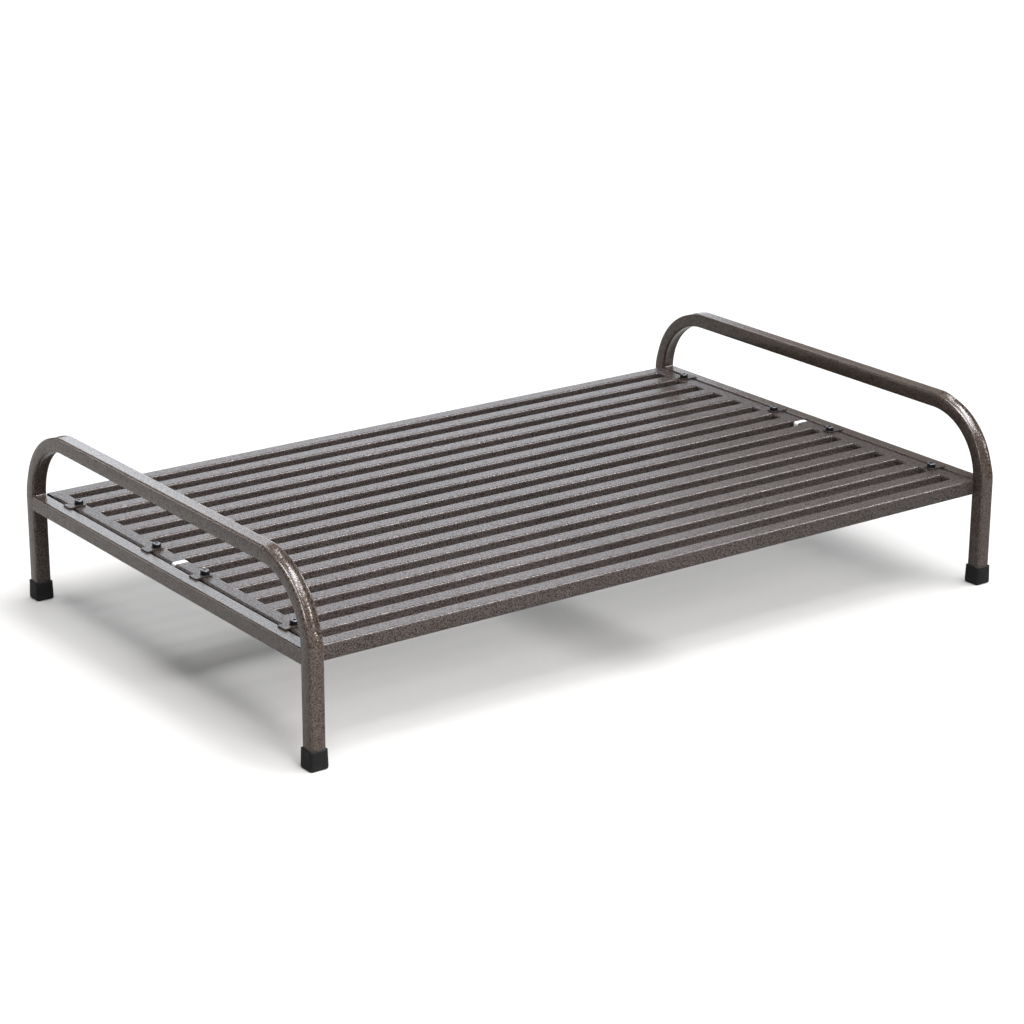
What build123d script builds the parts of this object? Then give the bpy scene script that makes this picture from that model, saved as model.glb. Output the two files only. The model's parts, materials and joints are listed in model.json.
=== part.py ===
"""Dog bed frame: two bent end hoops on rubber feet carry a raised deck of two slatted panels.

Millimetres. The origin is on the floor under the middle of the bed, +X runs along its length,
+Y across it and +Z up.
"""

from build123d import *
import os

os.makedirs("parts", exist_ok=True)

# Whole bed
frame_length = 1050  # outside of one hoop to outside of the other
frame_width = 680  # outside of the legs
hoop_top = 240
deck_top = 142

# Square tube of the hoops, the end rails and the end bars of the panels
tube = 20
corner = 3  # outside corner radius of every tube
wall = 1.5
bend_radius = 90  # to the centre line of the tube
weld_gap = 0.05  # left between a tube end and the rounded tube that it is shaped to meet

# Slatted panels, one at the front and one at the back
slat_width = 22
slat_height = 20
slat_gap = 20
slats_per_panel = 8
panel_gap = 20  # between the two panels
seam = 2.5  # between a panel and an end rail

# Rubber feet
foot_wall = 2
foot_height = 24
foot_sole = 4
foot_edge = 1.2

# Flat steel under the slats
strap_thickness = 4
cross_strap_width = 40

# Plastic plugs in the inner ends of the end bars, which hold the two panels apart
plug_flange = 4
plug_gap = 0.4  # between the two plugs that face each other
plug_edge = 0.8
plug_stem = 14
plug_clearance = 0.2  # round the stem, inside the tube

# Lugs and M6 bolts that hold the panels to the end rails
lug_thickness = 2
lug_width = 16
lug_on_rail = 5
lug_on_panel = 17
lug_corner = 4
bolt_diameter = 6
bolt_clearance = 6.6
head_diameter = 11
head_height = 4.2
head_round = 1.6
socket_width = 4  # across flats
socket_depth = 2.2
washer_diameter = 12
washer_thickness = 1.2
nut_width = 10  # across flats
nut_height = 5
nut_flange_round = 0.6
bolt_end = 2  # of thread below the nut
bolt_rows = (58, 257)  # distance of the bolts from the middle of the bed, along Y

# Worked out from the sizes above
leg_x = frame_length / 2 - tube / 2
leg_y = frame_width / 2 - tube / 2
rail_inner_x = frame_length / 2 - tube
panel_end_x = rail_inner_x - seam
bar_inner_x = panel_end_x - tube
bar_x = panel_end_x - tube / 2
slat_pitch = slat_width + slat_gap
deck_bottom = deck_top - slat_height
bar_end_y = plug_gap / 2 + plug_flange
first_slat_y = panel_gap / 2 + slat_width / 2
last_slat_y = first_slat_y + (slats_per_panel - 1) * slat_pitch
lug_top = deck_top + lug_thickness
strap_bottom = deck_bottom - strap_thickness
panel_sides = {"front": -1, "back": 1}
end_sides = {"left": -1, "right": 1}
bolt_spots = [(end * bar_x, side * row) for end in (-1, 1) for side in (-1, 1) for row in bolt_rows]


def save(part, name):
    """Labels a finished piece and writes it as one STEP file."""
    part.label = name
    export_step(part, f"parts/{name}.step")


def tube_along_x(x, y, width, height):
    """A hollow tube from -x to +x, with its middle at y and its top level with the deck."""
    with BuildPart() as body:
        with BuildSketch(Plane.YZ.offset(-x)):
            with Locations((y, deck_top - height / 2)):
                RectangleRounded(width, height, corner)
                RectangleRounded(width - 2 * wall, height - 2 * wall, corner - wall, mode=Mode.SUBTRACT)
        extrude(amount=2 * x)
    return body.part


def tube_along_y(x, y_from, y_to):
    """A hollow square tube across the bed, with its top level with the deck."""
    with BuildPart() as body:
        with BuildSketch(Plane.XZ.offset(-y_to)):
            with Locations((x, deck_top - tube / 2)):
                RectangleRounded(tube, tube, corner)
                RectangleRounded(tube - 2 * wall, tube - 2 * wall, corner - wall, mode=Mode.SUBTRACT)
        extrude(amount=y_to - y_from)
    return body.part


def filled_leg(x, y):
    """The room that a leg needs, for shaping the rail end that meets it."""
    with BuildPart() as body:
        with BuildSketch(Plane.XY.offset(foot_sole)):
            with Locations((x, y)):
                RectangleRounded(tube + 2 * weld_gap, tube + 2 * weld_gap, corner + weld_gap)
        extrude(amount=hoop_top - foot_sole)
    return body.part


def filled_end_bar(x):
    """The room that the end bars need, right across the bed."""
    with BuildPart() as body:
        with BuildSketch(Plane.XZ.offset(-frame_width / 2)):
            with Locations((x, deck_top - tube / 2)):
                RectangleRounded(tube + 2 * weld_gap, tube + 2 * weld_gap, corner + weld_gap)
        extrude(amount=frame_width)
    return body.part


def filled_outer_rail(y):
    """The room that a panel's outer rail needs."""
    with BuildPart() as body:
        with BuildSketch(Plane.YZ.offset(-frame_length / 2)):
            with Locations((y, deck_top - slat_height / 2)):
                RectangleRounded(slat_width + 2 * weld_gap, slat_height + 2 * weld_gap, corner + weld_gap)
        extrude(amount=frame_length)
    return body.part


def hoop(x):
    """One end of the bed: a square tube bent into two legs and a top bar."""
    crown_z = hoop_top - tube / 2
    straight_leg = crown_z - bend_radius - foot_sole
    straight_bar = 2 * (leg_y - bend_radius)
    with BuildPart() as body:
        with BuildLine(Plane.YZ.offset(x)) as centre_line:
            front_leg = Line((-leg_y, foot_sole), (-leg_y, foot_sole + straight_leg))
            front_bend = JernArc(front_leg @ 1, front_leg % 1, bend_radius, -90)
            bar = Line(front_bend @ 1, (front_bend @ 1) + Vector(0, straight_bar, 0))
            back_bend = JernArc(bar @ 1, bar % 1, bend_radius, -90)
            Line(back_bend @ 1, (leg_y, foot_sole))
        with BuildSketch(Plane.XY.offset(foot_sole)):
            with Locations((x, -leg_y)):
                RectangleRounded(tube, tube, corner)
                RectangleRounded(tube - 2 * wall, tube - 2 * wall, corner - wall, mode=Mode.SUBTRACT)
        sweep(path=centre_line.wire())
    return body.part


# End hoops, and the rail welded between the legs of each one, shaped to fit their rounded corners
for end, sign in end_sides.items():
    save(hoop(sign * leg_x), f"{end}_hoop")
    rail_reach = frame_width / 2 - tube + corner
    with BuildPart() as end_rail:
        add(tube_along_y(sign * leg_x, -rail_reach, rail_reach))
        add(filled_leg(sign * leg_x, -leg_y), mode=Mode.SUBTRACT)
        add(filled_leg(sign * leg_x, leg_y), mode=Mode.SUBTRACT)
    save(end_rail.part, f"{end}_end_rail")

# Rubber feet, pushed over the ends of the legs
for side, y_sign in panel_sides.items():
    for end, x_sign in end_sides.items():
        with BuildPart() as foot:
            with BuildSketch():
                with Locations((x_sign * leg_x, y_sign * leg_y)):
                    RectangleRounded(tube + 2 * foot_wall, tube + 2 * foot_wall, corner + foot_wall / 2)
            extrude(amount=foot_height)
            fillet(foot.edges().group_by(Axis.Z)[0] + foot.edges().group_by(Axis.Z)[-1], foot_edge)
            with BuildSketch(Plane.XY.offset(foot_sole)):
                with Locations((x_sign * leg_x, y_sign * leg_y)):
                    RectangleRounded(tube, tube, corner)
            extrude(amount=foot_height - foot_sole, mode=Mode.SUBTRACT)
        save(foot.part, f"{side}_{end}_foot")

# The two slatted panels. The outer rail runs the full length. The end bars run from it to the middle
# of the bed, and the inner rail and the slats fit between them.
for side, y_sign in panel_sides.items():
    outer_y = y_sign * last_slat_y
    save(tube_along_x(panel_end_x, outer_y, slat_width, slat_height), f"{side}_outer_rail")

    crossing_names = [f"{side}_slat_{number}" for number in range(2, slats_per_panel)]
    for place, name in enumerate(crossing_names + [f"{side}_inner_rail"], start=1):
        slat_y = y_sign * (last_slat_y - place * slat_pitch)
        with BuildPart() as slat:
            add(tube_along_x(bar_inner_x + corner, slat_y, slat_width, slat_height))
            add(filled_end_bar(-bar_x), mode=Mode.SUBTRACT)
            add(filled_end_bar(bar_x), mode=Mode.SUBTRACT)
        save(slat.part, name)

    bar_ends = (y_sign * bar_end_y, y_sign * (last_slat_y - slat_width / 2 + corner))
    for end, x_sign in end_sides.items():
        holes = [(x_sign * bar_x, y_sign * row) for row in bolt_rows]
        with BuildPart() as end_bar:
            add(tube_along_y(x_sign * bar_x, min(bar_ends), max(bar_ends)))
            add(filled_outer_rail(outer_y), mode=Mode.SUBTRACT)
            with BuildSketch(Plane.XY.offset(deck_bottom)):
                with Locations(*holes):
                    Circle(bolt_clearance / 2)
            extrude(amount=slat_height, mode=Mode.SUBTRACT)
        save(end_bar.part, f"{side}_{end}_end_bar")

    strap_near_y = panel_gap / 2 + slat_width
    with BuildPart() as cross_strap:
        with BuildSketch(Plane.XY.offset(strap_bottom)):
            with Locations((0, y_sign * (strap_near_y + last_slat_y) / 2)):
                Rectangle(cross_strap_width, last_slat_y - strap_near_y)
        extrude(amount=strap_thickness)
    save(cross_strap.part, f"{side}_cross_strap")

# Flat steel along the middle, under the inner rails of both panels
with BuildPart() as centre_strap:
    with BuildSketch(Plane.XY.offset(strap_bottom)):
        Rectangle(2 * bar_inner_x, panel_gap + 2 * slat_width)
    extrude(amount=strap_thickness)
save(centre_strap.part, "centre_strap")

# Plastic plugs: a flange as large as the tube, and a stem that fits inside it
for side, y_sign in panel_sides.items():
    for end, x_sign in end_sides.items():
        plug_place = (x_sign * bar_x, deck_top - tube / 2)
        stem_size = tube - 2 * wall - 2 * plug_clearance
        with BuildPart() as plug:
            with BuildSketch(Plane.XZ.offset(-y_sign * plug_gap / 2)):
                with Locations(plug_place):
                    RectangleRounded(tube, tube, corner)
            extrude(amount=-y_sign * plug_flange)
            fillet(plug.edges().group_by(Axis.Y)[0 if y_sign > 0 else -1], plug_edge)
            with BuildSketch(Plane.XZ.offset(-y_sign * bar_end_y)):
                with Locations(plug_place):
                    RectangleRounded(stem_size, stem_size, corner - wall)
            extrude(amount=-y_sign * plug_stem)
        save(plug.part, f"{side}_{end}_plug")

# Lugs welded to the end rails. Each reaches over the end bar of a panel.
with BuildPart() as lugs:
    for spot_x, spot_y in bolt_spots:
        sign = 1 if spot_x > 0 else -1
        lug_middle_x = sign * (rail_inner_x + (lug_on_rail - lug_on_panel - seam) / 2)
        lug_end_x = rail_inner_x - seam - lug_on_panel
        with BuildSketch(Plane.XY.offset(deck_top)) as outline:
            with Locations((lug_middle_x, spot_y)):
                Rectangle(lug_on_rail + seam + lug_on_panel, lug_width)
            panel_corners = outline.vertices().filter_by(lambda v: abs(v.X) < lug_end_x + lug_corner)
            fillet(panel_corners, lug_corner)
            with Locations((spot_x, spot_y)):
                Circle(bolt_clearance / 2, mode=Mode.SUBTRACT)
        extrude(amount=lug_thickness)
save(lugs.part, "deck_lugs")

# Washers under the bolt heads and over the nuts
for name, washer_bottom in (
    ("bolt_washers", lug_top),
    ("nut_washers", deck_bottom - washer_thickness),
):
    with BuildPart() as washers:
        with BuildSketch(Plane.XY.offset(washer_bottom)):
            with Locations(*bolt_spots):
                Circle(washer_diameter / 2)
                Circle(bolt_clearance / 2, mode=Mode.SUBTRACT)
        extrude(amount=washer_thickness)
    save(washers.part, name)

# Button-head bolts
head_bottom = lug_top + washer_thickness
nut_top = deck_bottom - washer_thickness
shank_bottom = nut_top - nut_height - bolt_end
with BuildPart() as bolts:
    with BuildSketch(Plane.XY.offset(shank_bottom)):
        with Locations(*bolt_spots):
            Circle(bolt_diameter / 2)
    extrude(amount=head_bottom - shank_bottom)
    with BuildSketch(Plane.XY.offset(head_bottom)):
        with Locations(*bolt_spots):
            Circle(head_diameter / 2)
    extrude(amount=head_height)
    fillet(bolts.edges().group_by(Axis.Z)[-1], head_round)
    with BuildSketch(Plane.XY.offset(head_bottom + head_height)):
        with Locations(*bolt_spots):
            RegularPolygon(socket_width / 2, 6, major_radius=False)
    extrude(amount=-socket_depth, mode=Mode.SUBTRACT)
save(bolts.part, "deck_bolts")

# Hexagon nuts under the end bars
with BuildPart() as nuts:
    with BuildSketch(Plane.XY.offset(nut_top - nut_height)):
        with Locations(*bolt_spots):
            RegularPolygon(nut_width / 2, 6, major_radius=False)
            Circle(bolt_diameter / 2, mode=Mode.SUBTRACT)
    extrude(amount=nut_height)
    chamfer(nuts.edges().group_by(Axis.Z)[0].filter_by(GeomType.LINE), nut_flange_round)
save(nuts.part, "deck_nuts")
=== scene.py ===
# %% [markdown]
# # A raised dog bed frame
#
# The bed is a low steel frame: two square tubes bent into hoops stand at its ends, and a deck of
# slats lies between them. The measured model comes first, as a fixed frame that nothing moves.
# Everything that is made here goes where that model says, in metres, with +X along the bed, +Y
# across it and +Z up.

# %% Load the measured model
import json
from math import cos, pi, radians, sin

import bmesh
import bpy
from mathutils import Euler, Matrix, Vector


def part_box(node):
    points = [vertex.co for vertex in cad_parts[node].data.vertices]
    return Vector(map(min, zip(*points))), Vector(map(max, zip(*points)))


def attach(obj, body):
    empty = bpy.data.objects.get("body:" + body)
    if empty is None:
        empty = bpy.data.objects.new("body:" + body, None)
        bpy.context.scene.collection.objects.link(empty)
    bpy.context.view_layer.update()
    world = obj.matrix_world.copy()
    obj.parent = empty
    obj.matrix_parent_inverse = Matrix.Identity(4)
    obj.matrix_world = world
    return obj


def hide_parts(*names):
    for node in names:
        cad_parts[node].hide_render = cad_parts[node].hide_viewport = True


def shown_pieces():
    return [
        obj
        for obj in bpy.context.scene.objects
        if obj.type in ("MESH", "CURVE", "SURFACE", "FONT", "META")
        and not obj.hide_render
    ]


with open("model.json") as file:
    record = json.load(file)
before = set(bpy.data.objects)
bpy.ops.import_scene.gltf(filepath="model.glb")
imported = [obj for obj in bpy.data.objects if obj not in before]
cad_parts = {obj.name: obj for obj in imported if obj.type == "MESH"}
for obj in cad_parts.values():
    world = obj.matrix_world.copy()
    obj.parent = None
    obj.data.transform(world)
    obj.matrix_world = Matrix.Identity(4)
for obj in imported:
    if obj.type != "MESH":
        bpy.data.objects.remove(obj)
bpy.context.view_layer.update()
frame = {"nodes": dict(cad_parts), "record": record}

MM = 0.001
print("nodes in the measured model:", len(frame["nodes"]))

# %% [markdown]
# ## Sizes read from the measured model
#
# A piece that is added later has to meet the model exactly, so its sizes are read from the nodes'
# boxes. The legs give the tube, the end rails give the level of the deck, and the top of a hoop
# gives the bend. Two sizes can't be read from a box: the radius of the tube's corners, and the
# radius of the bend along the middle of the tube.

# %% Sizes from the nodes
hoop_low, hoop_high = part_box("right_hoop")
rail_low, rail_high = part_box("right_end_rail")
foot_low, foot_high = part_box("front_right_foot")
bar_low, bar_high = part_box("front_right_end_bar")

TUBE = hoop_high.x - hoop_low.x
CORNER = 3 * MM
BEND_RADIUS = 90 * MM
LEG_X = (hoop_low.x + hoop_high.x) / 2
LEG_Y = hoop_high.y - TUBE / 2
LEG_BOTTOM = hoop_low.z
BEND_Z = hoop_high.z - TUBE / 2 - BEND_RADIUS
BEND_Y = LEG_Y - BEND_RADIUS
DECK_TOP = rail_high.z
DECK_BOTTOM = rail_low.z
BAR_INNER_X = bar_low.x
ENDS = {"left": -1, "right": 1}
PANELS = {"front": -1, "back": 1}
print(f"tube {TUBE / MM:.1f} mm, legs at x {LEG_X / MM:.0f} and y {LEG_Y / MM:.0f} mm")
print(f"deck from {DECK_BOTTOM / MM:.0f} to {DECK_TOP / MM:.0f} mm,",
      f"bends start at {BEND_Z / MM:.0f} mm")

# %% [markdown]
# ## The camera
#
# The camera stands in front of the bed and to its left, a little above it, and looks down on the
# deck at a shallow angle with a long lens, so that the far hoop is nearly as large as the near one.
# Turning a camera by a heading and a tilt keeps the horizon easy to check. The last small turn is
# about its own line of sight.

# %% Camera
CAMERA_PLACE = (-2.058, -2.821, 1.308)
HEADING = radians(-36.07)
TILT_DOWN = radians(18.98)
ROLL = radians(0.226)

camera_data = bpy.data.cameras.new("camera")
camera_data.lens = 100.3
camera_data.sensor_width = 36
camera = bpy.data.objects.new("camera", camera_data)
bpy.context.collection.objects.link(camera)
aim = Euler((pi / 2 - TILT_DOWN, 0, HEADING)).to_matrix() @ Matrix.Rotation(ROLL, 3, "Z")
camera.matrix_world = Matrix.Translation(CAMERA_PLACE) @ aim.to_4x4()
bpy.context.scene.camera = camera
print("camera:", round(camera_data.lens, 1), "mm lens,",
      round(Vector(CAMERA_PLACE).length, 2), "m away")

# %% [markdown]
# ## Small helpers for modelling
#
# Blender's operators act on all that is selected, and the measured nodes come in selected. So each
# new piece starts from an empty selection. `start` opens edit mode on a fresh primitive, `pick`
# selects its points by their place, and `finish_piece` puts the object's origin at the world's
# origin and makes the piece ride with the frame's one body.

# %% Modelling helpers
def deselect_all():
    """Leaves edit mode and clears the selection."""
    if bpy.context.mode != "OBJECT":
        bpy.ops.object.mode_set(mode="OBJECT")
    bpy.ops.object.select_all(action="DESELECT")


def start(name, primitive, **settings):
    """Adds a primitive, names it and opens it in edit mode."""
    deselect_all()
    primitive(**settings)
    piece = bpy.context.object
    piece.name = name
    piece.data.name = name
    bpy.ops.object.mode_set(mode="EDIT")
    bpy.ops.mesh.select_mode(type="VERT")
    return piece


def pick(test):
    """In edit mode, selects the points whose world place passes the test, and says how many."""
    piece = bpy.context.object
    mesh = bmesh.from_edit_mesh(piece.data)
    for face in mesh.faces:
        face.select = False
    for edge in mesh.edges:
        edge.select = False
    for point in mesh.verts:
        point.select = bool(test(piece.matrix_world @ point.co))
    mesh.select_flush(True)
    bmesh.update_edit_mesh(piece.data)
    return sum(point.select for point in mesh.verts)


def near(value, target, room=0.02 * MM):
    """True if two lengths are the same to within a small room."""
    return abs(value - target) < room


def finish_piece(piece, smooth_angle=35):
    """Merges doubles, turns the faces outwards, smooths, and makes the piece part of the bed."""
    bpy.ops.object.mode_set(mode="EDIT")
    bpy.ops.mesh.select_all(action="SELECT")
    bpy.ops.mesh.remove_doubles(threshold=0.01 * MM)
    bpy.ops.mesh.normals_make_consistent(inside=False)
    deselect_all()
    piece.select_set(True)
    bpy.context.view_layer.objects.active = piece
    bpy.ops.object.transform_apply(location=True, rotation=True, scale=True)
    bpy.ops.object.shade_smooth_by_angle(angle=radians(smooth_angle))
    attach(piece, "root")
    return piece


def copy_of(piece, name):
    """A copy with its own mesh, selected and active, that rides with the bed."""
    deselect_all()
    piece.select_set(True)
    bpy.context.view_layer.objects.active = piece
    bpy.ops.object.duplicate(linked=False)
    copy = bpy.context.object
    copy.name = name
    copy.data.name = name
    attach(copy, "root")
    return copy


print("helpers ready")

# %% [markdown]
# ## The end hoops
#
# A hoop is one length of square tube with two bends. When such a tube is bent without a mandrel,
# the wall on the outside of the bend is stretched and sinks in between its two corners, which
# leaves a long shallow channel, and the tube becomes a little slimmer there. The wall on the inside
# of the bend is pressed in too, by the forming die. This channel catches the light as one bright
# streak, so a plain sweep of a square would look wrong.
#
# The tube starts as a flat square with bevelled corners. Its outer and inner sides are divided, so
# that there are points to press in. Then the outline is extruded up the leg, spun round the first
# bend, extruded along the bar, spun again and extruded down.

# %% Draw the tube's outline and run it round the hoop
BEND_STEPS = 28
WALL_CUTS = 9
CORNER_STEPS = 5


def tube_outline(name, x):
    """The rounded square outline at the foot of the front leg."""
    piece = start(name, bpy.ops.mesh.primitive_plane_add, size=TUBE,
                  location=(x, -LEG_Y, LEG_BOTTOM))
    bpy.ops.mesh.select_all(action="SELECT")
    bpy.ops.mesh.bevel(offset=CORNER, segments=CORNER_STEPS, affect="VERTICES")
    for side in (-1, 1):
        pick(lambda place: near(place.y, -LEG_Y + side * TUBE / 2))
        bpy.ops.mesh.subdivide(number_cuts=WALL_CUTS)
    bpy.ops.mesh.select_all(action="SELECT")
    bpy.ops.mesh.delete(type="ONLY_FACE")
    return piece


def run_round(x):
    """Extrudes and spins the outline from the front leg's foot to the back leg's foot."""
    up_the_leg = {"value": (0, 0, BEND_Z - LEG_BOTTOM)}
    along_the_bar = {"value": (0, 2 * BEND_Y, 0)}
    down_the_leg = {"value": (0, 0, LEG_BOTTOM - BEND_Z)}
    bend = {"steps": BEND_STEPS, "angle": pi / 2, "axis": (1, 0, 0)}
    bpy.ops.mesh.select_all(action="SELECT")
    bpy.ops.mesh.extrude_region_move(TRANSFORM_OT_translate=up_the_leg)
    bpy.ops.mesh.spin(center=(x, -BEND_Y, BEND_Z), **bend)
    bpy.ops.mesh.extrude_region_move(TRANSFORM_OT_translate=along_the_bar)
    bpy.ops.mesh.spin(center=(x, BEND_Y, BEND_Z), **bend)
    bpy.ops.mesh.extrude_region_move(TRANSFORM_OT_translate=down_the_leg)
    for foot_side in (-1, 1):
        pick(lambda place: near(place.z, LEG_BOTTOM) and place.y * foot_side > 0)
        bpy.ops.mesh.edge_face_add()


# %% [markdown]
# Each ring of points along a bend is then pressed towards the middle of the bend. The whole outer
# wall comes in a little, which slims the tube, and the points between its corners come in further,
# deepest in the middle. Both fade out at the two ends of the bend. Scaling the picked points about
# the middle of the bend moves them straight inwards.

# %% Press the walls of the bends in
OUTER_RADIUS = BEND_RADIUS + TUBE / 2
INNER_RADIUS = BEND_RADIUS - TUBE / 2
SLIMMING = 2.2 * MM
CHANNEL_DEPTH = 3.8 * MM
INNER_DENT = 1.2 * MM
CHANNEL_FLATNESS = 2.6
FADE_SPEED = 1.6
WALL_ROOM = 1 * MM
RING_ROOM = 0.2 * MM
COLUMN_ROOM = 0.1 * MM


def fade(turn):
    """0 at the ends of a bend and 1 over its middle, with a soft start."""
    along = min(1.0, FADE_SPEED * sin(pi * turn))
    return along * along * (3 - 2 * along)


def press(x, bend_y, turn, radius_from, radius_to, across, depth):
    """Moves the points of one ring and one wall towards the middle of the bend by a depth."""
    middle = Vector((x, bend_y, BEND_Z))
    side = 1 if bend_y > 0 else -1
    angle = turn * pi / 2

    def on_the_wall(place):
        arm = place - middle
        level = side * arm.y * sin(angle) - arm.z * cos(angle)
        reach = side * arm.y * cos(angle) + arm.z * sin(angle)
        on_ring = abs(level) < RING_ROOM and radius_from < reach < radius_to
        return on_ring and across(abs(arm.x))

    if pick(on_the_wall):
        middle_radius = (radius_from + radius_to) / 2
        factor = 1 - depth / middle_radius
        bpy.ops.transform.resize(value=(1, factor, factor), center_override=middle)


def press_bend(x, bend_y):
    """Slims one bend and gives it its outer channel and its inner dent."""
    flat = TUBE / 2 - CORNER
    outer_band = (OUTER_RADIUS - WALL_ROOM, OUTER_RADIUS + WALL_ROOM)
    inner_band = (INNER_RADIUS - WALL_ROOM, INNER_RADIUS + WALL_ROOM)
    whole_wall = (BEND_RADIUS + CORNER, OUTER_RADIUS + WALL_ROOM)
    for step in range(1, BEND_STEPS):
        turn = step / BEND_STEPS
        amount = fade(turn)
        for cut in range((WALL_CUTS + 1) // 2):
            place = 2 * flat * cut / (WALL_CUTS + 1)
            sink = 1 - (place / flat) ** CHANNEL_FLATNESS

            def column(offset, place=place):
                return near(offset, place, COLUMN_ROOM)

            press(x, bend_y, turn, *outer_band, column, CHANNEL_DEPTH * amount * sink)
            press(x, bend_y, turn, *inner_band, column, -INNER_DENT * amount * sink)
        press(x, bend_y, turn, *whole_wall, lambda offset: True, SLIMMING * amount)


for end, end_sign in ENDS.items():
    hoop = tube_outline(f"{end}_bent_hoop", end_sign * LEG_X)
    run_round(end_sign * LEG_X)
    for bend_side in (-1, 1):
        press_bend(end_sign * LEG_X, bend_side * BEND_Y)
    finish_piece(hoop, smooth_angle=50)
    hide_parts(f"{end}_hoop")
    print(hoop.name, "has", len(hoop.data.polygons), "faces")

# %% [markdown]
# ## The rubber feet
#
# A foot is a moulded rubber cup, pushed over the end of a leg. It is a little wider at the floor
# than at its rim, its lower edge is well rounded, and its rim is a thin soft edge round the tube.
# One foot is modelled from a cube, whose pocket is inset and pushed down from its top, and the
# other three are copies.

# %% Model one foot and copy it
FOOT = foot_high.x - foot_low.x
FOOT_HEIGHT = foot_high.z - foot_low.z
FOOT_FLARE = 1.045
FOOT_WALL = (FOOT - TUBE) / 2
POCKET_SHARE = 0.75
FOOT_ROUNDING = 3.2 * MM
FOOT_ROUNDING_STEPS = 5
# Shares of the rounding
RIM_SHARE = 0.3
SOLE_SHARE = 1.0
UPRIGHT_SHARE = 1.3
POCKET_RIM_SHARE = 0.2


def foot_piece(name, x, y):
    """A flared rubber cup with a rounded sole and a pocket for the leg."""
    piece = start(name, bpy.ops.mesh.primitive_cube_add, size=1, location=(x, y, FOOT_HEIGHT / 2),
                  scale=(FOOT, FOOT, FOOT_HEIGHT))
    pick(lambda place: near(place.z, 0))
    bpy.ops.transform.resize(value=(FOOT_FLARE, FOOT_FLARE, 1), center_override=(x, y, 0))
    pick(lambda place: near(place.z, FOOT_HEIGHT))
    bpy.ops.mesh.inset(thickness=FOOT_WALL)
    pocket = {"value": (0, 0, POCKET_SHARE * (LEG_BOTTOM - FOOT_HEIGHT))}
    bpy.ops.mesh.extrude_region_move(TRANSFORM_OT_translate=pocket)
    bpy.ops.object.mode_set(mode="OBJECT")
    weights = piece.data.attributes.new("bevel_weight_edge", "FLOAT", "EDGE")
    for edge in piece.data.edges:
        ends = [piece.matrix_world @ piece.data.vertices[index].co for index in edge.vertices]
        outside = all(max(abs(end.x - x), abs(end.y - y)) > TUBE / 2 + 1 * MM for end in ends)
        at_floor = all(near(end.z, 0) for end in ends)
        at_rim = all(near(end.z, FOOT_HEIGHT) for end in ends)
        if outside and at_rim:
            weights.data[edge.index].value = RIM_SHARE
        elif outside and at_floor:
            weights.data[edge.index].value = SOLE_SHARE
        elif outside:
            weights.data[edge.index].value = UPRIGHT_SHARE
        elif at_rim:
            weights.data[edge.index].value = POCKET_RIM_SHARE
    bevel = piece.modifiers.new("rounding", "BEVEL")
    bevel.limit_method = "WEIGHT"
    bevel.width = FOOT_ROUNDING
    bevel.segments = FOOT_ROUNDING_STEPS
    bpy.ops.object.modifier_apply(modifier=bevel.name)
    return finish_piece(piece)


first_foot = foot_piece("front_left_rubber_foot", -LEG_X, -LEG_Y)
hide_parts("front_left_foot")
rubber_feet = [first_foot]
for panel, panel_sign in PANELS.items():
    for end, end_sign in ENDS.items():
        if (panel, end) == ("front", "left"):
            continue
        foot = copy_of(first_foot, f"{panel}_{end}_rubber_foot")
        move = (end_sign * LEG_X + LEG_X, panel_sign * LEG_Y + LEG_Y, 0)
        bpy.ops.transform.translate(value=move)
        bpy.ops.object.transform_apply(location=True, rotation=True, scale=True)
        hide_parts(f"{panel}_{end}_foot")
        rubber_feet.append(foot)
print("rubber feet:", len(rubber_feet), "of", len(first_foot.data.polygons), "faces each")

# %% [markdown]
# ## The welds
#
# The end rails are welded between the legs, the slats between the end bars, and the lugs onto the
# end rails. The visible faces are ground flush before painting, so what is left to see are short
# beads in the inside corners. A bead is a row of overlapping ripples. It starts as a small filled
# circle that is extruded step by step, wider and narrower in turn, and closes to a small end.

# %% A weld bead
RIPPLE = 0.9 * MM
FEWEST_RIPPLES = 4
RIPPLE_SWELL = 1.12
END_SIZE = 0.55
FIRST_SWELL = 1.7
LAST_SWELL = 1.25
LAST_SHRINK = 0.55
RAIL_BEAD_RADIUS = 1.7 * MM
DECK_BEAD_RADIUS = 1.1 * MM


def swell(step, steps):
    """How many times as wide a step of a bead is as the step before it."""
    if step == 1:
        return FIRST_SWELL
    if step == steps:
        return LAST_SHRINK
    if step == steps - 1:
        return LAST_SWELL
    return RIPPLE_SWELL if step % 2 else 1 / RIPPLE_SWELL


def bead(name, length, radius):
    """A rippled weld bead along X, centred on the origin."""
    steps = max(FEWEST_RIPPLES, round(length / RIPPLE))
    one_step = {"value": (length / steps, 0, 0)}
    piece = start(name, bpy.ops.mesh.primitive_circle_add, vertices=8, radius=radius * END_SIZE,
                  fill_type="NGON", location=(-length / 2, 0, 0), rotation=(0, pi / 2, 0))
    bpy.ops.mesh.select_all(action="SELECT")
    for step in range(1, steps + 1):
        bpy.ops.mesh.extrude_region_move(TRANSFORM_OT_translate=one_step)
        width = swell(step, steps)
        bpy.ops.transform.resize(value=(1, width, width))
    return finish_piece(piece, smooth_angle=80)


def place_beads(pattern, name, places):
    """Copies a bead to each (place, turn) and joins the copies into one piece."""
    copies = []
    for spot, turn in places:
        copy = copy_of(pattern, name)
        copy.matrix_world = Matrix.Translation(spot) @ turn.to_4x4()
        bpy.ops.object.transform_apply(location=True, rotation=True, scale=True)
        copies.append(copy)
    deselect_all()
    for copy in copies:
        copy.select_set(True)
    bpy.context.view_layer.objects.active = copies[0]
    bpy.ops.object.join()
    copies[0].name = name
    return copies[0]


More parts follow.
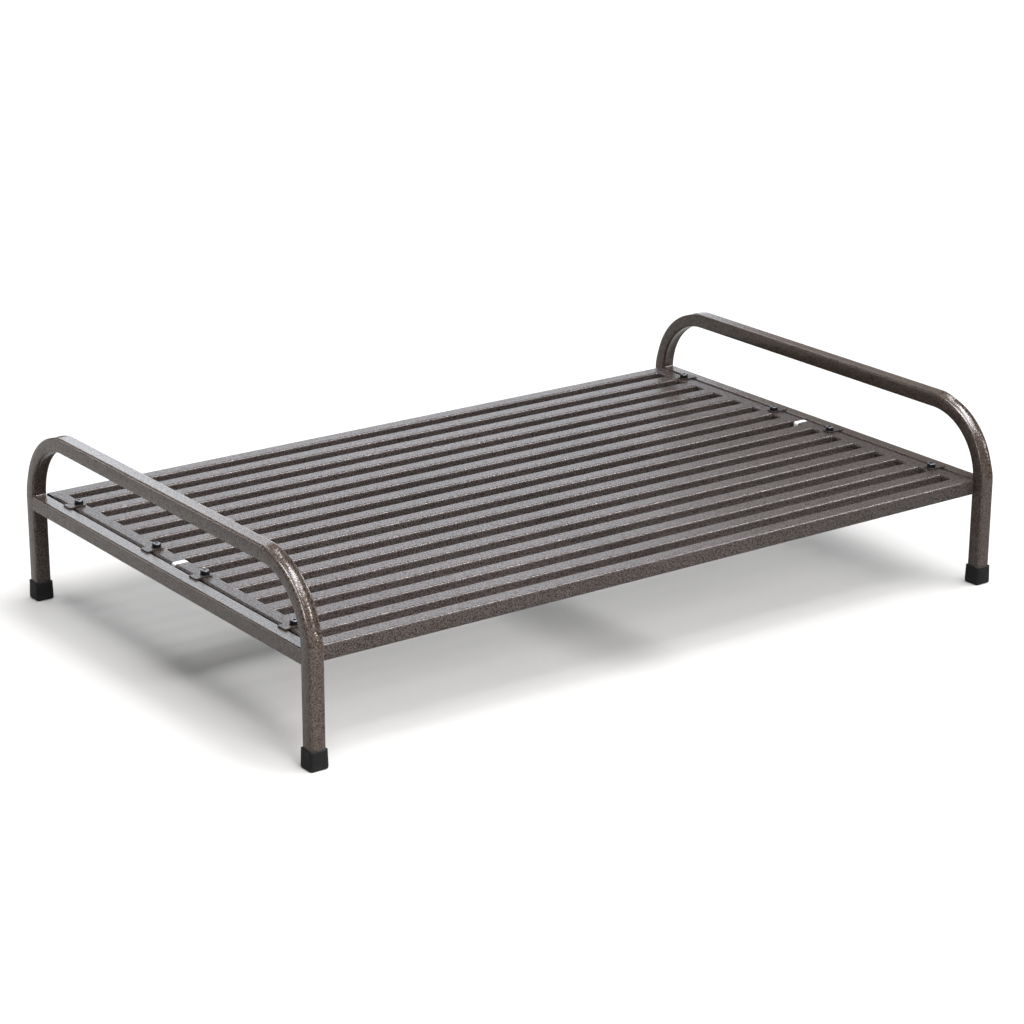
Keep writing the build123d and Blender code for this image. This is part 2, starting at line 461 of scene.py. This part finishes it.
ALONG_X = Matrix.Identity(3)
ALONG_Y = Matrix.Rotation(pi / 2, 3, "Z")
ALONG_Z = Matrix.Rotation(pi / 2, 3, "Y")

# %% Beads where the end rails meet the legs
rail_bead = bead("rail_bead", TUBE - 1.6 * CORNER, RAIL_BEAD_RADIUS)
rail_weld_places = []
for end_sign in ENDS.values():
    for leg_sign in (-1, 1):
        corner_y = leg_sign * (LEG_Y - TUBE / 2)
        for level in (DECK_TOP, DECK_BOTTOM):
            rail_weld_places.append((Vector((end_sign * LEG_X, corner_y, level)), ALONG_X))
rail_welds = place_beads(rail_bead, "rail_welds", rail_weld_places)
bpy.data.objects.remove(rail_bead)
print("beads at the legs:", len(rail_weld_places))

# %% Beads in the corners of the deck
corner_height = DECK_TOP - DECK_BOTTOM - 2 * CORNER
deck_bead = bead("deck_bead", corner_height, DECK_BEAD_RADIUS)
deck_middle = (DECK_TOP + DECK_BOTTOM) / 2
deck_weld_places = []
for panel in PANELS:
    crossing = [f"{panel}_slat_{number}" for number in range(2, 8)]
    for node in crossing + [f"{panel}_outer_rail", f"{panel}_inner_rail"]:
        low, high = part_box(node)
        for edge_y in (low.y, high.y):
            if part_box(f"{panel}_left_end_bar")[0].y < edge_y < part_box(f"{panel}_left_end_bar")[1].y:
                for end_sign in ENDS.values():
                    spot = Vector((end_sign * BAR_INNER_X, edge_y, deck_middle))
                    deck_weld_places.append((spot, ALONG_Z))
deck_welds = place_beads(deck_bead, "deck_welds", deck_weld_places)
bpy.data.objects.remove(deck_bead)
print("beads in the deck:", len(deck_weld_places))

# %% [markdown]
# ## Finishes
#
# A finish is a small network of nodes. Two helpers keep the networks short: one adds a node with
# its settings, and one makes an empty material and hands back its tree and its surface shader.
# All patterns read the object's own coordinates in metres, so a pattern has its true size and stays
# in place on the piece from every side.

# %% Node helpers
def new_finish(name, color=(0.8, 0.8, 0.8)):
    """An empty material, its node tree and its surface shader."""
    finish = bpy.data.materials.new(name)
    finish.use_nodes = True
    finish.diffuse_color = (*color, 1)
    tree = finish.node_tree
    return finish, tree, tree.nodes["Principled BSDF"]


def add(tree, kind, settings=(), **inputs):
    """Adds a node, sets its properties and its inputs.

    An input may be a value or a socket. It is called by its name, or i6 for the seventh.
    """
    node = tree.nodes.new(kind)
    for key, value in dict(settings).items():
        setattr(node, key, value)
    for key, value in inputs.items():
        numbered = key[1:].isdigit()
        socket = node.inputs[int(key[1:]) if numbered else key.replace("_", " ")]
        if isinstance(value, bpy.types.NodeSocket):
            tree.links.new(value, socket)
        else:
            socket.default_value = value
    return node


def place_on_piece(tree):
    """The coordinates of the piece, in metres."""
    return add(tree, "ShaderNodeTexCoord").outputs["Object"]


def grade(tree, value, low, high, to_low, to_high):
    """Maps a value from one range onto another."""
    node = add(tree, "ShaderNodeMapRange", Value=value, From_Min=low, From_Max=high,
               To_Min=to_low, To_Max=to_high)
    return node.outputs["Result"]


def blend_colors(tree, amount, first, second):
    """Mixes two colours by an amount."""
    node = add(tree, "ShaderNodeMix", {"data_type": "RGBA"}, i0=amount, i6=first, i7=second)
    return node.outputs[2]


print("node helpers ready")

# %% [markdown]
# ### Hammered paint
#
# The steel is covered with a hammered paint. Fine aluminium flake in it gathers into small round
# islands about two millimetres across while the paint dries, with darker brown channels between
# them. The islands are smoother and partly metallic, because the flake is in them, and a thin clear
# coat lies over it all. A Voronoi pattern gives the islands, a finer noise breaks up their colour
# and their flake, and a slow noise lets the tone wander a little along the tubes. The islands'
# height feeds a bump, so that the highlights break up into grains.
#
# The three pattern sizes below are counts to the metre.

# %% Hammered paint
ISLANDS = 500
GRAIN = 760
WANDER = 7
ISLAND_WOBBLE = 1.6 * MM
CHANNEL_ROUGHNESS = 0.16


def hammered_paint(name, island, channel, roughness, coat):
    """Grey-brown hammered paint with islands and channels in the given colours."""
    finish, tree, surface = new_finish(name, island)
    place = place_on_piece(tree)
    wobble = add(tree, "ShaderNodeTexNoise", Vector=place, Scale=GRAIN / 3, Detail=2.0)
    bent = add(tree, "ShaderNodeVectorMath", {"operation": "MULTIPLY_ADD"},
               i0=wobble.outputs["Color"], i1=(ISLAND_WOBBLE,) * 3, i2=place).outputs[0]
    cells = add(tree, "ShaderNodeTexVoronoi", {"feature": "F1"}, Vector=bent, Scale=ISLANDS)
    grain = add(tree, "ShaderNodeTexNoise", Vector=place, Scale=GRAIN, Detail=3.0)
    tone = add(tree, "ShaderNodeTexNoise", Vector=place, Scale=WANDER, Detail=2.0)

    height = grade(tree, cells.outputs["Distance"], 0.15, 0.75, 1.0, 0.0)
    spread = blend_colors(tree, height, (*channel, 1), (*island, 1))
    speck = grade(tree, grain.outputs["Fac"], 0.34, 0.66, 0.6, 1.38)
    speckled = add(tree, "ShaderNodeVectorMath", {"operation": "SCALE"}, i0=spread, Scale=speck)
    drift = grade(tree, tone.outputs["Fac"], 0.3, 0.7, 0.9, 1.1)
    drifted = add(tree, "ShaderNodeVectorMath", {"operation": "SCALE"},
                  i0=speckled.outputs[0], Scale=drift)
    tree.links.new(drifted.outputs[0], surface.inputs["Base Color"])

    rough = grade(tree, height, 0.0, 1.0, roughness + CHANNEL_ROUGHNESS, roughness)
    tree.links.new(rough, surface.inputs["Roughness"])
    flake = grade(tree, grain.outputs["Fac"], 0.35, 0.6, 0.2, 0.5)
    metal = add(tree, "ShaderNodeMath", {"operation": "MULTIPLY"}, i0=height, i1=flake).outputs[0]
    tree.links.new(metal, surface.inputs["Metallic"])
    surface.inputs["Specular IOR Level"].default_value = 0.06
    surface.inputs["Coat Weight"].default_value = coat
    surface.inputs["Coat Roughness"].default_value = 0.1
    surface.inputs["Coat IOR"].default_value = 1.4
    relief = add(tree, "ShaderNodeBump", Strength=0.32, Distance=0.35 * MM, Height=height)
    tree.links.new(relief.outputs["Normal"], surface.inputs["Normal"])
    tree.links.new(relief.outputs["Normal"], surface.inputs["Coat Normal"])
    return finish


frame_paint = hammered_paint("frame paint", island=(0.078, 0.064, 0.057),
                             channel=(0.017, 0.010, 0.007), roughness=0.14, coat=0.4)
deck_paint = hammered_paint("deck paint", island=(0.071, 0.062, 0.060),
                            channel=(0.015, 0.010, 0.008), roughness=0.27, coat=0.16)
print("hammered paints:", frame_paint.name, deck_paint.name)

# %% [markdown]
# ### Rubber, nylon and blackened steel
#
# The feet are black rubber with a fine moulded grain, and they carry a little dust near the floor.
# The plugs in the end bars are white nylon, which lets some light into itself. The bolts, washers
# and nuts are black oxide steel; the top of each bolt head is a little greyer, as a painted highlight.

# %% Black rubber
def black_rubber():
    """Moulded rubber with a fine grain and a little dust low down."""
    finish, tree, surface = new_finish("black rubber", (0.02, 0.02, 0.02))
    place = place_on_piece(tree)
    grain = add(tree, "ShaderNodeTexNoise", Vector=place, Scale=1400.0, Detail=4.0)
    scuffs = add(tree, "ShaderNodeTexNoise", Vector=place, Scale=120.0, Detail=5.0)
    height = add(tree, "ShaderNodeSeparateXYZ", Vector=place).outputs["Z"]
    low_down = grade(tree, height, 0.0, 9 * MM, 1.0, 0.0)
    patches = grade(tree, scuffs.outputs["Fac"], 0.45, 0.7, 0.0, 0.6)
    dust = add(tree, "ShaderNodeMath", {"operation": "MULTIPLY"},
               i0=low_down, i1=patches).outputs[0]
    color = blend_colors(tree, dust, (0.006, 0.006, 0.006, 1), (0.03, 0.027, 0.025, 1))
    tree.links.new(color, surface.inputs["Base Color"])
    rough = grade(tree, scuffs.outputs["Fac"], 0.3, 0.7, 0.5, 0.68)
    tree.links.new(rough, surface.inputs["Roughness"])
    surface.inputs["Specular IOR Level"].default_value = 0.1
    relief = add(tree, "ShaderNodeBump", Strength=0.3, Distance=0.12 * MM,
                 Height=grain.outputs["Fac"])
    tree.links.new(relief.outputs["Normal"], surface.inputs["Normal"])
    return finish


rubber = black_rubber()

# %% White nylon
def white_nylon():
    """Slightly cloudy white plastic."""
    finish, tree, surface = new_finish("white nylon", (0.6, 0.6, 0.58))
    place = place_on_piece(tree)
    cloud = add(tree, "ShaderNodeTexNoise", Vector=place, Scale=160.0, Detail=3.0)
    color = blend_colors(tree, cloud.outputs["Fac"], (0.5, 0.5, 0.5, 1), (0.43, 0.43, 0.42, 1))
    tree.links.new(color, surface.inputs["Base Color"])
    surface.inputs["Subsurface Weight"].default_value = 0.25
    surface.inputs["Subsurface Radius"].default_value = (1.5 * MM, 1.4 * MM, 1.2 * MM)
    surface.inputs["Roughness"].default_value = 0.42
    relief = add(tree, "ShaderNodeBump", Strength=0.15, Distance=0.1 * MM,
                 Height=cloud.outputs["Fac"])
    tree.links.new(relief.outputs["Normal"], surface.inputs["Normal"])
    return finish


nylon = white_nylon()

# %% Blackened steel
BOLT_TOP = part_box("deck_bolts")[1].z


def black_steel():
    """Black oxide steel, with a painted highlight: the top of each bolt head is a little greyer."""
    finish, tree, surface = new_finish("black steel", (0.03, 0.03, 0.03))
    place = place_on_piece(tree)
    grain = add(tree, "ShaderNodeTexNoise", Vector=place, Scale=700.0, Detail=4.0)
    height = add(tree, "ShaderNodeSeparateXYZ", Vector=place).outputs["Z"]
    # Painted highlight: the top 0.8 mm of each bolt head is mixed towards grey, broken up in spots.
    top = grade(tree, height, BOLT_TOP - 0.9 * MM, BOLT_TOP - 0.1 * MM, 0.0, 1.0)
    highlight_spots = grade(tree, grain.outputs["Fac"], 0.35, 0.6, 0.55, 1.0)
    painted_highlight = add(tree, "ShaderNodeMath", {"operation": "MULTIPLY"},
                 i0=top, i1=highlight_spots).outputs[0]
    color = blend_colors(tree, painted_highlight, (0.01, 0.01, 0.011, 1), (0.07, 0.07, 0.075, 1))
    tree.links.new(color, surface.inputs["Base Color"])
    rough = grade(tree, grain.outputs["Fac"], 0.3, 0.7, 0.3, 0.45)
    tree.links.new(rough, surface.inputs["Roughness"])
    surface.inputs["Metallic"].default_value = 0.7
    relief = add(tree, "ShaderNodeBump", Strength=0.2, Distance=0.05 * MM,
                 Height=grain.outputs["Fac"])
    tree.links.new(relief.outputs["Normal"], surface.inputs["Normal"])
    return finish


steel = black_steel()
print("other finishes:", rubber.name, nylon.name, steel.name)

# %% [markdown]
# ### Giving each piece its finish
#
# The measured record says which finish each node has. Of the new pieces, the feet are rubber, and
# the hoops and the welds wear the frame paint.

# %% Assign the finishes
FINISHES = {
    "hammered_frame_paint": frame_paint,
    "hammered_deck_paint": deck_paint,
    "foot_rubber": rubber,
    "plug_plastic": nylon,
    "black_hardware": steel,
}


def wear(piece, finish):
    """Replaces all that a piece wears with one finish."""
    piece.data.materials.clear()
    piece.data.materials.append(finish)
    for face in piece.data.polygons:
        face.material_index = 0


for entry in frame["record"]["subparts"]:
    node = frame["nodes"][entry["node"]]
    for material_slot in node.material_slots:
        material_slot.material = FINISHES[entry["material_slot"]]
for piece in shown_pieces():
    if piece.name in frame["nodes"]:
        continue
    if "foot" in piece.name:
        wear(piece, rubber)
    else:
        wear(piece, frame_paint)

# %% [markdown]
# ## Floor and light
#
# The bed stands on a plain pale studio floor, which is so wide that its edge is never seen. A very
# wide soft light hangs overhead, a little to the front and the right, and a pale sky fills in.
# Hammered paint shows its sheen where it mirrors a light at a shallow angle, so a large panel
# stands behind the bed, across from the camera and a little to the left of the line of sight. A
# small light behind the left end picks out the outer sides of the left hoop, and one in front of
# that end lights the near legs. A long strip over the bed is mirrored in the pressed channels of
# the bends, and as it is only there to be mirrored, it casts no light on matt surfaces.

# %% Floor
FLOOR_SIZE = 400

deselect_all()
bpy.ops.mesh.primitive_plane_add(size=FLOOR_SIZE, location=(0, 0, 0))
floor = bpy.context.object
floor.name = "studio_floor"
floor_finish, floor_tree, floor_surface = new_finish("floor", (0.9, 0.9, 0.88))
floor_surface.inputs["Base Color"].default_value = (0.275, 0.27, 0.264, 1)
floor_surface.inputs["Roughness"].default_value = 0.8
wear(floor, floor_finish)


# %% Lights
def soft_light(name, place, aim_at, size, power, color=(1, 1, 1), length=None):
    """A square or oblong area light that looks at a point."""
    data = bpy.data.lights.new(name, "AREA")
    data.shape = "RECTANGLE"
    data.size = size
    data.size_y = length or size
    data.energy = power
    data.color = color
    lamp = bpy.data.objects.new(name, data)
    bpy.context.collection.objects.link(lamp)
    lamp.location = place
    lamp.rotation_euler = (Vector(aim_at) - Vector(place)).to_track_quat("-Z", "Y").to_euler()
    return lamp


soft_light("left_glow", place=(-1.3, 1.3, 0.6), aim_at=(-0.5, 0.2, 0.15), size=0.6, power=6)
soft_light("back_panel", place=(1.75, 3.4, 1.55), aim_at=(-0.3, 0, 0.1), size=2.2, power=42,
           color=(0.86, 0.92, 1.0))
bend_strip = soft_light("bend_strip", place=(0.85, -0.4, 2.2), aim_at=(-0.4, -0.25, 0.2),
                        size=0.8, power=190, color=(0.88, 0.93, 1.0), length=3.4)
bend_strip.visible_diffuse = False
soft_light("front_left", place=(-0.55, -1.5, 0.95), aim_at=(-0.45, -0.3, 0.1), size=0.5, power=26)

sun_data = bpy.data.lights.new("overhead", "SUN")
sun_data.energy = 11
sun_data.angle = radians(54)
sun_data.color = (0.99, 0.995, 1.0)
sun = bpy.data.objects.new("overhead", sun_data)
bpy.context.collection.objects.link(sun)
sun.rotation_euler = (radians(12), radians(8), 0)

world = bpy.data.worlds.new("studio_sky")
world.use_nodes = True
sky = world.node_tree.nodes["Background"]
sky.inputs["Color"].default_value = (1, 1, 1, 1)
sky.inputs["Strength"].default_value = 0.28
bpy.context.scene.world = world
bpy.context.scene.view_settings.view_transform = "Standard"
